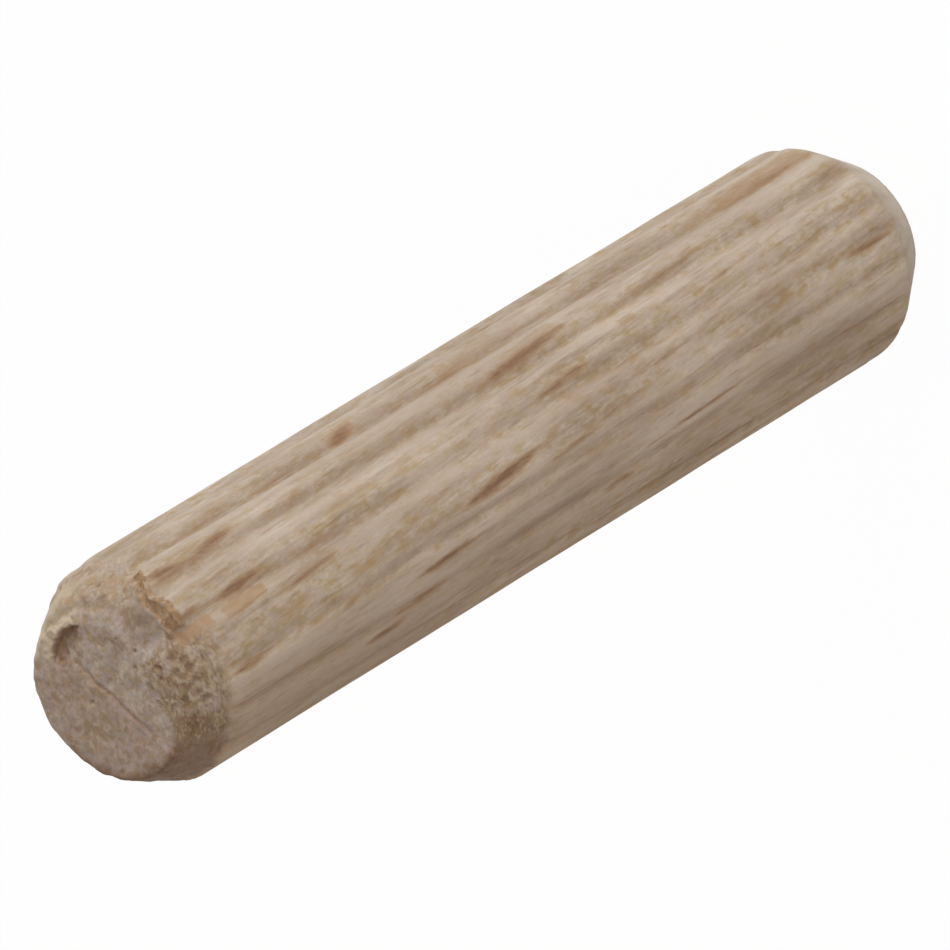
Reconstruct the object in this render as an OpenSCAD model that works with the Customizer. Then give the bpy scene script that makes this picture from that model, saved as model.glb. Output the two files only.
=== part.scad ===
// Fluted wooden dowel pin.
// It stands on its plain end at z = 0, with the torn end on top and its axis along +Z.
// Angles round the pin are measured from the front (-Y) towards +X.

/* [Pin] */
// Diameter over the crests of the lands
pin_d = 8; // [6:0.5:12]
// Length from end to end
pin_len = 40; // [25:1:80]

/* [Flutes] */
// Number of flutes rolled along the pin
flute_count = 16; // [12:1:20]
// Depth of a flute below the crests
flute_depth = 0.25; // [0.1:0.05:0.4]
// Share of each land's width that keeps the pin's full radius
crest_share = 0.6; // [0.3:0.05:0.8]
// Angle taken by the one wide land, where the rolling closed on itself
wide_land = 30; // [24:1:34]
// Direction of the first flute, at the +X side of the wide land
first_flute = 7.5; // [0:0.5:20]

/* [Plain end] */
// Length of the bevel along the pin
plain_bevel = 2.05; // [1:0.05:3]
// How far the bevel comes in from the crests
plain_bevel_in = 1.3; // [0.5:0.05:1.6]

/* [Torn end] */
// Length of the bevel along the pin
torn_bevel = 1.85; // [1:0.05:3]
// How far the bevel comes in from the crests
torn_bevel_in = 0.95; // [0.5:0.05:1.6]
// Number of lands that run on past the bevel and end in a torn step
lip_lands = 2; // [1:1:4]
// How far those lands run past the start of the bevel
lip_run = 1; // [0.2:0.1:1.4]
// Height of the raised part of the end face over the rest
face_step = 0.1; // [0.05:0.05:0.4]
// Turn of the step's line from the X axis
face_step_angle = 22; // [-45:1:45]
// Distance of the step's line from the centre, towards the back
face_step_offset = 0.15; // [-1:0.05:1]
// Depth of the chip at the rim of the end face
chip_depth = 0.3; // [0.1:0.05:0.5]
// Width of the chip along the rim
chip_w = 1.6; // [0.6:0.1:2.4]
// Reach of the chip from the rim towards the centre
chip_reach = 0.9; // [0.4:0.1:1.6]
// Solid rim left outside the chip
chip_rim = 0.55; // [0.3:0.05:1]
// Direction of the chip's middle
chip_angle = 100; // [0:1:359]

/* [Hidden] */
$fn = 96;
past = 1; // how far a cutter runs past what it cuts
pin_r = pin_d / 2;
flute_r = pin_r - flute_depth;
plain_flat_r = pin_r - plain_bevel_in;
torn_flat_r = pin_r - torn_bevel_in;
low_face_z = pin_len - face_step;
land_pitch = (360 - wide_land) / (flute_count - 1);

// direction of flute i: the wide land lies between the last flute and the first
function flute_angle(i) = first_flute + i * land_pitch;
function land_angle(i) = i < flute_count - 1 ? land_pitch : wide_land;

// A land's flanks lie on one circle, through the crest's edge and the bottom of the flute beside it.
function flank_centre(half, crest) =
    (pin_r * pin_r - flute_r * flute_r) / (2 * (pin_r * cos(crest) - flute_r * cos(half)));
function flank_r(half, crest) =
    norm([pin_r * cos(crest) - flank_centre(half, crest), pin_r * sin(crest)]);

// turns a shape drawn along +X to an angle measured from the front
module face_angle(angle) {
    rotate([0, 0, angle - 90]) children();
}

module land_outline(i) {
    half = land_angle(i) / 2;
    crest = half * crest_share;
    face_angle(flute_angle(i) + half)
        translate([flank_centre(half, crest), 0])
            circle(r = flank_r(half, crest));
}

module fluted_section() {
    narrow = land_pitch / 2;
    intersection() {
        circle(r = pin_r);
        union() {
            circle(r = flank_centre(narrow, narrow * crest_share));
            for (i = [0 : flute_count - 1]) land_outline(i);
        }
    }
}

// what a bevel takes off, for an end at z = 0 with the pin above it
module bevel_ring(flat_r, reach_in, length) {
    rotate_extrude()
        polygon([
            [flat_r - reach_in / 2, -length / 2],
            [flat_r + 2 * reach_in, -length / 2],
            [flat_r + 2 * reach_in, 2 * length]
        ]);
}

// the space of the lands that the torn end's bevel leaves alone
module lip_guard() {
    from = flute_angle(0);
    to = flute_angle(lip_lands);
    reach = 2 * pin_r;
    rim = [for (k = [0 : 4]) from + (to - from) * k / 4 - 90];
    translate([0, 0, pin_len - torn_bevel - past])
        linear_extrude(lip_run + past)
            polygon([[0, 0], for (a = rim) [reach * cos(a), reach * sin(a)]]);
}

module torn_bevel_cut() {
    difference() {
        translate([0, 0, pin_len]) mirror([0, 0, 1])
            bevel_ring(torn_flat_r, torn_bevel_in, torn_bevel);
        lip_guard();
    }
}

// the half of the end face in front of the step's line
module low_face_cut() {
    rotate([0, 0, face_step_angle])
        translate([-pin_d, face_step_offset - 2 * pin_d, low_face_z])
            cube([2 * pin_d, 2 * pin_d, past]);
}

// a chip with a steep wall at the rim and a floor that rises towards the centre
module chip_cut() {
    wall_at = torn_flat_r - chip_rim;
    slope = atan(chip_depth / chip_reach);
    face_angle(chip_angle)
        translate([wall_at, 0, pin_len - chip_depth])
            rotate([0, slope, 0])
                translate([-2 * chip_reach, -chip_w / 2, 0])
                    cube([2 * chip_reach, chip_w, past]);
}

// the fluted rod with both ends bevelled
module bevelled_rod() {
    difference() {
        difference() {
            linear_extrude(pin_len) fluted_section();
            bevel_ring(plain_flat_r, plain_bevel_in, plain_bevel);
        }
        torn_bevel_cut();
    }
}

module dowel_pin() {
    color("burlywood")
        difference() {
            bevelled_rod();
            low_face_cut();
            chip_cut();
        }
}

dowel_pin();
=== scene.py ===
"""A fluted beech dowel pin with one torn end, standing on a pale floor."""

import math

import bmesh
import bpy
import numpy as np
from bpy.props import (
    FloatProperty,
    FloatVectorProperty,
    IntProperty,
    PointerProperty,
)
from mathutils import Matrix, Vector, noise


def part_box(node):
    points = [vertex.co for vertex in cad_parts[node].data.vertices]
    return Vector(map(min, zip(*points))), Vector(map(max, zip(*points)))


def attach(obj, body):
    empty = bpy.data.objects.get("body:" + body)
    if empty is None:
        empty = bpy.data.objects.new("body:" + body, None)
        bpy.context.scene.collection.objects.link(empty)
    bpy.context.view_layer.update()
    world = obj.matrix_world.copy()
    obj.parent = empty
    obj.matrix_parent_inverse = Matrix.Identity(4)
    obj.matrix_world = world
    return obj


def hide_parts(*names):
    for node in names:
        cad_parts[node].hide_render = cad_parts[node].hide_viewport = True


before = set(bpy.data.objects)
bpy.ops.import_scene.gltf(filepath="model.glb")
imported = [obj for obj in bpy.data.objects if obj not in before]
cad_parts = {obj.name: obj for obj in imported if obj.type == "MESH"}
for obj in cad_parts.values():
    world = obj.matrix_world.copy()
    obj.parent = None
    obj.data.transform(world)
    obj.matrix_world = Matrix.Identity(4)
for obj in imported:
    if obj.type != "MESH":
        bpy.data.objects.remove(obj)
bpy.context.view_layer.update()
PIN_LOW, PIN_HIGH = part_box("dowel_pin")

bl_info = {
    "name": "Fluted dowel pin",
    "version": (1, 0, 0),
    "blender": (4, 5, 0),
    "location": "View3D > Sidebar > Dowel",
    "description": "Builds a fluted beech dowel pin with a torn end, and its stage",
    "category": "Add Mesh",
}

MM = 0.001

# Lines of points along the pin for each land: beside each of its flutes, and on its crest
FLANK_LINES = 5
CREST_LINES = 12

# Radius in mm of the plain cylinder on which the blank's own noise is drawn
NOISE_RADIUS = 4

# How far a noise moves for each step of its seed, in its own cells: on the skin, and in the wood
SKIN_SEED_STEP = (17.3, 5.1, 9.7)
WOOD_SEED_STEP = 10.3

# How far the side swells and dips, apart from its flutes
SWELL = 0.02 * MM

# Painted highlight on the flank of a flute that faces the key lamp and painted shade on its other
# flank, in degrees round from its bottom: the middle, and the reach before and after it. The
# painted shade reaches less far after it where the flutes are narrow.
LIT_FLANK = (-6.2, 4.2, 2.8)
SHADED_FLANK = (0.6, 2.2, 4.6)
NARROW_REACH = 2.4

# How much further the low side of the torn bevel stands out
LOW_SIDE_FULLER = 0.16 * MM

# Range over which the corner between side and bevel is rounded: worn and sharp at the torn end,
# and at the plain end
WORN_CORNER = 0.35 * MM
SHARP_CORNER = 0.02 * MM
PLAIN_CORNER = 0.15 * MM

# Radius of the torn face's rim where it isn't worn
SHARP_RIM = 0.25 * MM

# The torn step: the share of the bevel's rings that climb the torn lands, the share at which the
# step's wall ends and how much that varies, and the raggedness, wear and lean of the wall
LIP_SHARE = 0.4
STEP_SHARE = 0.61
STEP_VARIES = 0.12
STEP_RAGGED = 0.03 * MM
STEP_WEAR = 0.04 * MM
STEP_LEAN = 0.05 * MM

# The torn slope past the step: how far in from the crests it meets the end face, how far above
# the step's edge it starts, and the range over which its corner with the end is rounded
SHELF_REACH = 1.9 * MM
SHELF_RISE = 0.06 * MM
SHELF_CORNER = 0.2 * MM

# Lean of the torn fibres from the way round the pin, and how much they are drawn out along it
TEAR_LEAN = math.radians(-22)
TEAR_SQUEEZE = 0.38

# Size of the torn flakes up the end, in mm
FLAKE_SIZE = 0.17

# The shallow crease in the torn face: its two ends in X and Y, its half width and its depth
CREASE_ENDS = (0.30 * MM, -0.3 * MM), (1.0 * MM, -1.55 * MM)
CREASE_HALF_WIDTH = 0.42 * MM
CREASE_DEPTH = 0.07 * MM

# Depths of the groove along the face's step, of the pits and dimples, and of the side's grain
GROOVE_DEPTH = 0.035 * MM
PIT_DEPTH = 0.045 * MM
DIMPLE_DEPTH = 0.03 * MM
GRAIN_DEPTH = 0.010 * MM

# Depths in mm of the broad, the lumpy and the ragged unevenness of the ends
END_ROLLS = (0.04, 0.042, 0.012)

# Furthest a point is counted inside or outside a mark, and the usual width of a mark, in mm
MARK_REACH = 0.3
MARK_WIDTH = 0.4

# How many flecks are scattered over the hidden side, and the seed of their places
HIDDEN_FLECKS = 44
HIDDEN_SEED = 5

# Gloss of the bare wood, and the strength and depth of the finest relief
SPECULAR_LEVEL = 0.25
RELIEF_STRENGTH = 0.3
RELIEF_DEPTH = 0.04 * MM

# How far the floor lies below the pin
FLOOR_GAP = 0.01 * MM

# Distance of each lamp from the middle of the pin, and the side of its square
LAMP_DISTANCE = 0.5
LAMP_SIZE = 0.35

# How far the camera stands to the right of the middle of the pin, and above it
CAMERA_ASIDE = (-0.403 * MM, -0.573 * MM)
SENSOR_WIDTH = 36
CLIP_START = 0.05
CLIP_END = 20

# How deep each flute is, as a share of the flute depth, from the first one round towards +X
FLUTE_SHARES = (
    0.6, 0.85, 0.9, 0.6, 0.35, 0.75, 0.7, 0.8, 0.7, 0.65, 0.75, 0.7, 0.3, 0.45, 0.35, 0.25,
)

# How far the painted highlight and shade of each flute lie from their usual place, in degrees
FLUTE_SHIFTS = (0.5, 1.5, 0.5, 0.5, 0, 1, 0.5, -1, 0, 1.5, 0, 1, 0, 0, 0, 0)

# Broad lighter and darker places on the side, partly the wood's own tone and partly painted light
# and shade, as in the long bands at one direction each: height in mm, direction in degrees,
# reach along the pin in mm, reach round it in degrees, and strength, below 0 where darker
TONES = [
    (33, 7.5, 7, 4, -0.9),
    (32, 1, 8, 5, -0.45),
    (20, 0, 8, 8, -0.35),
    (8, -3, 8, 7, -0.85),
    (9, -15, 8, 4, 0.7),
    (21, -19, 7, 4, 1.1),
    (20, -12, 5, 3, -0.4),
    (9, -25, 7, 4, -0.45),
    (31, -25, 8, 3, -0.5),
    (24, -34, 30, 8, 1.4),
    (20, -43, 30, 3, 0.6),
    (20, -54, 30, 4, 0.5),
    (34, -54, 8, 6, 1.0),
    (20, -59, 6, 3, -0.5),
    (34, -68, 8, 7, 1.1),
    (24, 39, 9, 5, 0.8),
    (28, 19, 9, 3, 0.5),
    (21, 11, 6, 4, 0.4),
    (9, 16, 6, 4, -0.4),
    (8, 43, 7, 4, 0.9),
    (20, 67, 30, 3, -0.35),
    (20, 58, 30, 4, 0.6),
    (22, 73, 30, 5, 0.3),
]

# Brown ray flecks on the side: height in mm, direction in degrees, length and width in mm,
# strength, and slope in degrees
FLECKS = [
    (23.6, -12.0, 4.9, 0.46, 1.0, 6),
    (19.8, -16.5, 3.7, 0.20, 0.8, 4),
    (17.0, -12.0, 3.0, 0.20, 0.4, 4),
    (33.2, -2.2, 3.3, 0.26, 0.8, 4),
    (36.2, 10.2, 2.8, 0.38, 1.0, 4),
    (38.5, 11.2, 1.6, 0.26, 0.8, 4),
    (36.2, 0.2, 2.6, 0.14, 0.6, 3),
    (32.4, 8.0, 2.8, 0.20, 0.5, 3),
    (35.6, 36.0, 2.6, 0.44, 0.9, 6),
    (38.0, 36.0, 2.0, 0.40, 0.9, -4),
    (36.8, 33.6, 4.6, 0.24, 0.6, 3),
    (31.2, 52.5, 2.3, 0.24, 0.5, 3),
    (34.6, 53.0, 3.4, 0.20, 0.4, 2),
    (27.3, 54.5, 1.7, 0.50, 0.8, 12),
    (19.2, 35.8, 5.3, 0.42, 0.8, 4),
    (22.4, 51.4, 3.9, 0.26, 0.6, 2),
    (19.0, 12.8, 3.7, 0.30, 0.9, 4),
    (10.1, 16.8, 3.0, 0.20, 0.6, 4),
    (3.5, -8.2, 2.9, 0.28, 0.9, 0),
    (9.7, -21.8, 3.4, 0.12, 0.8, 1),
    (13.7, -36.0, 6.2, 0.15, 0.8, 3),
    (27.0, -32.0, 3.8, 0.32, 0.9, 3),
    (37.0, -25.2, 2.5, 0.26, 0.8, 4),
    (31.9, -25.4, 1.5, 0.20, 0.6, 8),
    (28.4, -45.0, 3.2, 0.26, 0.8, 4),
    (30.4, -52.0, 2.5, 0.34, 0.8, 1),
    (17.9, -48.0, 2.2, 0.30, 0.6, 3),
    (22.6, -64.0, 1.7, 0.40, 0.6, 3),
    (11.3, -65.0, 1.8, 0.50, 0.5, 3),
    (35.2, -42.2, 6.7, 0.14, 0.7, 1),
    (4.9, -42.4, 5.8, 0.14, 0.9, 0),
    (14.0, 4.5, 1.8, 0.14, 0.4, 3),
    (12.0, 34.2, 6.9, 0.24, 0.4, 2),
    (4.8, 52.5, 5.0, 0.30, 0.5, 2),
]

# Orange and tan patches on the side, with blunt ends, in the same measures
PATCHES = [
    (36.3, 2.6, 2.2, 0.44, 0.8, 3),
    (38.6, 3.1, 1.4, 0.50, 0.9, 3),
    (4.6, 56.5, 4.8, 0.90, 0.6, 0),
    (7.6, 55.5, 3.0, 0.50, 0.4, 3),
    (27.2, 56.0, 1.4, 0.60, 0.6, 10),
    (21.7, 56.5, 0.7, 0.90, 0.5, 12),
    (20.0, 56.5, 2.4, 0.80, 0.25, 8),
    (18.6, 39.5, 3.2, 0.50, 0.4, 4),
    (14.7, 22.0, 0.9, 0.42, 0.6, 0),
    (11.0, 40.0, 0.6, 0.40, 0.4, 0),
    (26.9, 20.0, 0.8, 0.40, 0.4, 0),
    (30.0, 22.0, 0.5, 0.40, 0.4, 0),
    (15.5, 3.0, 0.6, 0.50, 0.4, 0),
    (18.8, 3.5, 0.7, 0.40, 0.4, 0),
]

# Gaps in the torn end, sunk and painted dark as their shade: height in mm, direction in
# degrees, radius in mm
PITS = [
    (39.65, -3.0, 0.22),
    (38.74, -12.3, 0.17),
    (39.22, -21.3, 0.16),
    (39.47, 6.0, 0.18),
    (39.47, -23.0, 0.13),
    (39.76, -14.0, 0.17),
    (39.31, -13.0, 0.16),
    (39.40, -8.5, 0.15),
    (39.71, 56.4, 0.15),
    (39.20, 64.5, 0.09),
    (39.45, -42.0, 0.12),
    (39.75, -30.5, 0.14),
    (39.05, -33.0, 0.13),
    (39.90, -20.0, 0.14),
    (39.00, -20.0, 0.12),
    (39.25, -29.0, 0.12),
]

# Gaps in the torn face, sunk and painted dark as their shade: X and Y in mm, radius in mm
FACE_PITS = [
    (0.15, -1.67, 0.11),
    (-0.63, -1.81, 0.15),
    (-0.58, -2.43, 0.14),
    (-1.32, -1.75, 0.13),
    (-0.09, 0.89, 0.08),
    (0.62, -2.05, 0.08),
    (1.29, -1.59, 0.08),
    (-0.20, -2.60, 0.15),
]

# Orange dimples in the torn end: height in mm, direction in degrees, radius in mm
DIMPLES = [
    (39.04, 57.7, 0.20),
    (39.18, 64.8, 0.15),
    (39.28, 52.9, 0.22),
    (39.94, 65.2, 0.18),
    (39.59, 92.5, 0.16),
    (39.63, 84.0, 0.20),
    (38.95, 72.0, 0.16),
    (39.45, 74.0, 0.13),
    (38.60, 45.0, 0.20),
    (39.10, 40.0, 0.12),
]

# Orange dimples in the torn face: X and Y in mm, radius in mm
FACE_DIMPLES = [
    (2.96, 0.14, 0.16),
    (2.60, -0.25, 0.14),
    (1.48, -2.29, 0.16),
    (2.39, -0.88, 0.14),
    (1.95, -1.90, 0.13),
    (2.05, 0.95, 0.16),
    (1.90, -0.60, 0.10),
]

# Pale flakes left on the torn end: height in mm, direction in degrees, radius in mm
CHIPS = [
    (39.22, 2.9, 0.17),
    (39.59, -7.8, 0.17),
    (39.02, -11.2, 0.22),
    (39.12, -14.2, 0.16),
    (39.82, -17.0, 0.16),
    (39.15, -2.2, 0.17),
    (39.66, 3.2, 0.16),
    (38.80, -27.0, 0.17),
    (39.00, -29.0, 0.16),
]

# Noises in the wood: size in mm across and along the grain, detail, roughness and seed
GRAIN_NOISES = {
    "streaks": (0.30, 2.4, 4, 0.6, 0),
    "fibres": (0.09, 0.7, 3, 0.65, 3),
    "dashes": (0.08, 0.5, 1, 0.5, 5),
    "mottles": (0.34, 0.7, 5, 0.65, 7),
    "yellows": (0.36, 0.75, 4, 0.58, 9),
    "blotches": (0.8, 2.0, 3, 0.6, 11),
    "clouds": (2.0, 7.0, 1, 0.5, 13),
    "specks": (0.13, 1.9, 2, 0.5, 21),
    "bands": (0.45, 8.0, 2, 0.5, 23),
    "pinks": (0.35, 0.35, 3, 0.6, 25),
    "crumbs": (0.18, 0.18, 3, 0.6, 15),
    "olives": (0.26, 0.26, 3, 0.65, 17),
    "blots": (0.6, 0.6, 4, 0.65, 19),
}


# Settings


def length_setting(name, description, metres):
    """A size along the pin or across it."""
    return FloatProperty(name=name, description=description, default=metres, unit="LENGTH")


def angle_setting(name, description, degrees):
    """An angle, given in degrees and kept in radians."""
    radians = math.radians(degrees)
    return FloatProperty(name=name, description=description, default=radians, unit="ROTATION")


def number_setting(name, description, number, unit):
    """A number in that unit."""
    return FloatProperty(name=name, description=description, default=number, unit=unit)


def share_setting(name, description, share):
    """A strength from 0 to 1."""
    return FloatProperty(
        name=name, description=description, default=share, min=0, max=1, subtype="FACTOR"
    )


def colour_setting(name, description, colour):
    """A colour or a tint, as red, green and blue."""
    return FloatVectorProperty(
        name=name, description=description, default=colour, subtype="COLOR", size=3
    )


class DowelSizes(bpy.types.PropertyGroup):
    """Sizes of the pin"""

    radius: length_setting(
        "Radius", "Radius over the crests of the lands", (PIN_HIGH.x - PIN_LOW.x) / 2
    )
    length: length_setting("Length", "Length from end to end", PIN_HIGH.z - PIN_LOW.z)
    flute_count: IntProperty(
        name="Flutes", description="Number of flutes rolled along the pin", default=16
    )
    flute_depth: length_setting(
        "Flute depth", "Depth of the deepest flute below the crests", 0.25 * MM
    )
    flute_half_width: angle_setting(
        "Flute half width", "Angle from the bottom of a flute to the crest beside it", 8.2
    )
    wide_land: angle_setting("Wide land", "Angle taken by the one wide land", 30)
    first_flute: angle_setting(
        "First flute", "Direction of the flute at the +X side of the wide land", 7.5
    )
    plain_bevel: length_setting(
        "Plain bevel", "Length of the plain end's bevel along the pin", 2.05 * MM
    )
    plain_bevel_in: length_setting(
        "Plain bevel in", "How far the plain end's bevel comes in", 1.3 * MM
    )
    torn_bevel: length_setting(
        "Torn bevel", "Length of the torn end's bevel along the pin", 1.85 * MM
    )
    torn_bevel_in: length_setting(
        "Torn bevel in", "How far the torn end's bevel comes in", 0.95 * MM
    )
    lip_run: length_setting(
        "Lip run", "How far the two torn lands run past the start of the bevel", 1.07 * MM
    )
    lip_end: angle_setting("Lip end", "Direction at which the torn lands' step dies out", 46)
    face_step: length_setting(
        "Face step", "Height of the raised half of the torn face", 0.1 * MM
    )
    face_step_angle: angle_setting(
        "Face step angle", "Turn of the step's line from the X axis", 23.5
    )
    face_step_offset: length_setting(
        "Face step offset", "Distance of the step's line from the centre", 0.16 * MM
    )
    chip_depth: length_setting(
        "Chip depth", "Depth of the chip at the rim of the torn face", 0.3 * MM
    )
    chip_wall: length_setting(
        "Chip wall", "Distance of the chip's steep wall from the middle of the face", 2.45 * MM
    )
    chip_reach: length_setting(
        "Chip reach", "Reach of the chip from its wall towards the centre", 0.85 * MM
    )
    chip_angle: angle_setting("Chip direction", "Direction of the chip's middle", 106)
    chip_half_turn: angle_setting(
        "Chip half turn", "Angle from the chip's middle to either end", 23
    )
    rim_round: length_setting(
        "Rim round", "Radius of the worn rim of the torn face, at the front", 1.3 * MM
    )
    lip_slant: length_setting(
        "Lip slant", "How much lower the torn step ends than it begins", 0.75 * MM
    )
    torn_relief: length_setting(
        "Torn relief", "How far the torn flakes stand out of the bevel", 0.042 * MM
    )


class DowelFinish(bpy.types.PropertyGroup):
    """Colours of the wood"""

    pale: colour_setting("Pale wood", "Lightest wood, on the crests", (0.66, 0.57, 0.48))
    body: colour_setting("Body", "The wood's main colour", (0.54, 0.435, 0.35))
    tan: colour_setting("Tan", "Yellow tan mottles", (0.50, 0.372, 0.20))
    dull: colour_setting("Dull", "Pinkish grey mottles", (0.45, 0.378, 0.342))
    patch: colour_setting("Patch", "Orange patches", (0.43, 0.27, 0.145))
    ray: colour_setting("Ray", "Brown ray flecks", (0.25, 0.14, 0.085))
    sanded: colour_setting("Sanded", "The smooth bevel of the plain end", (0.71, 0.64, 0.56))
    face: colour_setting("End grain", "The torn face", (0.54, 0.43, 0.355))
    crumb: colour_setting("Crumb", "Torn fibres", (0.42, 0.31, 0.19))
    flake: colour_setting("Flake", "Pale flakes where the wood is torn", (0.60, 0.50, 0.37))
    # brown of the torn step's wall, and painted shade in the gaps and along the face's groove
    stain_and_shade: colour_setting(
        "Stain", "Brown wood on the torn step and in gaps", (0.28, 0.17, 0.095)
    )
    # painted shade at the bottoms of the pits
    pit: colour_setting("Pit", "Bottoms of pits", (0.16, 0.09, 0.05))
    # the shade tint darkens the wood's own darker places and also lays painted shade
    shade: colour_setting("Shade", "Tint of the duller wood", (0.73, 0.67, 0.62))
    # painted shade, darker and redder, on the side turned from the key lamp
    warm: colour_setting("Warm side", "Tint of the redder side", (0.90, 0.82, 0.745))
    dim: colour_setting("Dim", "Tint of the raised half of the face", (0.91, 0.865, 0.835))
    smooth: colour_setting(
        "Smooth patch", "Tint of the grey wood past the torn step", (0.72, 0.695, 0.68)
    )
    # this tint also lays painted shade in the chip
    burnt: colour_setting(
        "Burnt", "Tint of the browner bevel on the low side", (0.60, 0.49, 0.42)
    )
    roughness: share_setting("Roughness", "Roughness of the bare wood", 0.82)
    grain_slope: angle_setting(
        "Grain slope", "Turn of the grain from the pin's axis, about Y", 3.5
    )


class DowelStage(bpy.types.PropertyGroup):
    """Floor, light and camera"""

    floor_radius: length_setting("Floor radius", "Radius of the floor", 3)
    camera_rise: angle_setting("Camera rise", "Angle of the camera above the floor", 43.34)
    camera_roll: angle_setting(
        "Camera roll", "Turn of the camera about its line of sight", -121.47
    )
    camera_distance: length_setting(
        "Camera distance", "Distance from the camera to the middle of the pin", 0.6252
    )
    lens: number_setting("Lens", "Focal length in mm", 713.2, "CAMERA")
    key_power: number_setting("Key power", "Power of the side lamp in watts", 1.8, "POWER")
    fill_power: number_setting("Fill power", "Power of the front lamp in watts", 0.66, "POWER")
    back_power: number_setting("Back power", "Power of the lamp behind in watts", 0.85, "POWER")
    ambient: share_setting("Ambient", "Strength of the light from all round", 0.3)


def smooth_step(low, high, value):
    """0 at low and 1 at high, with a smooth rise between. High may be the lower one."""
    share = np.clip((value - low) / (high - low), 0, 1)
    return share * share * (3 - 2 * share)


def between(value, start, full, full_end, end):
    """1 from full to full_end, falling smoothly to 0 at start and at end."""
    return smooth_step(start, full, value) * smooth_step(end, full_end, value)


def blend(one, other, share):
    """The one where share is 0, and the other where it is 1."""
    return one + (other - one) * share


def lower_of(one, other, round_over):
    """The lower of two values, with the corner between them rounded over that range."""
    near = np.maximum(round_over - np.abs(one - other), 0) / np.maximum(round_over, 1e-9)
    return np.minimum(one, other) - near * near * round_over / 4


def noise_at(places, feature, seed=0):
    """Noise from -1 to 1 at places in mm, with blobs of that size in mm along each axis."""
    scaled = places / np.array(feature) + np.array(SKIN_SEED_STEP) * seed
    return np.array([noise.noise(place) for place in scaled.tolist()])


# The blank, its flutes and its bevels


def flute_directions(sizes):
    """Directions of the flutes, in radians, ending with the first one again."""
    pitch = (2 * math.pi - sizes.wide_land) / (sizes.flute_count - 1)
    found = [sizes.first_flute + i * pitch for i in range(sizes.flute_count)]
    return found + [sizes.first_flute + 2 * math.pi]


def line_directions(sizes):
    """Direction of each line of points that runs along the pin, closer by the flutes."""
    edges = flute_directions(sizes)
    found = []
    for start, end in zip(edges, edges[1:]):
        flank = min(sizes.flute_half_width, 0.45 * (end - start))
        found += list(np.linspace(start, start + flank, FLANK_LINES, endpoint=False))
        found += list(np.linspace(start + flank, end - flank, CREST_LINES, endpoint=False))
        found += list(np.linspace(end - flank, end, FLANK_LINES, endpoint=False))
    return np.array(found)


def turned_blank(sizes):
    """A plain round pin with both bevels, spun from its outline."""
    plain_flat = sizes.radius - sizes.plain_bevel_in
    torn_flat = sizes.radius - sizes.torn_bevel_in
    # each corner's radius and height, and into how many the edge that follows it is divided
    outline = [
        (0, 0, 5),
        (plain_flat, 0, 20),
        (sizes.radius, sizes.plain_bevel, 70),
        (sizes.radius, 0.7 * sizes.length, 46),
        (sizes.radius, sizes.length - sizes.torn_bevel, 42),
        (torn_flat, sizes.length, 68),
        (0, sizes.length, 0),
    ]
    bm = bmesh.new()
    corners = [bm.verts.new((0, -r, z)) for r, z, _ in outline]
    edges = [bm.edges.new(pair) for pair in zip(corners, corners[1:])]
    for edge, (_, _, parts) in zip(edges, outline):
        bmesh.ops.subdivide_edges(bm, edges=[edge], cuts=parts - 1)
    bmesh.ops.spin(
        bm,
        geom=bm.verts[:] + bm.edges[:],
        cent=(0, 0, 0),
        axis=(0, 0, 1),
        angle=2 * math.pi,
        steps=len(line_directions(sizes)),
        use_merge=True,
    )
    bmesh.ops.remove_doubles(bm, verts=bm.verts, dist=1e-7)
    bmesh.ops.recalc_face_normals(bm, faces=bm.faces)
    return bm


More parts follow.
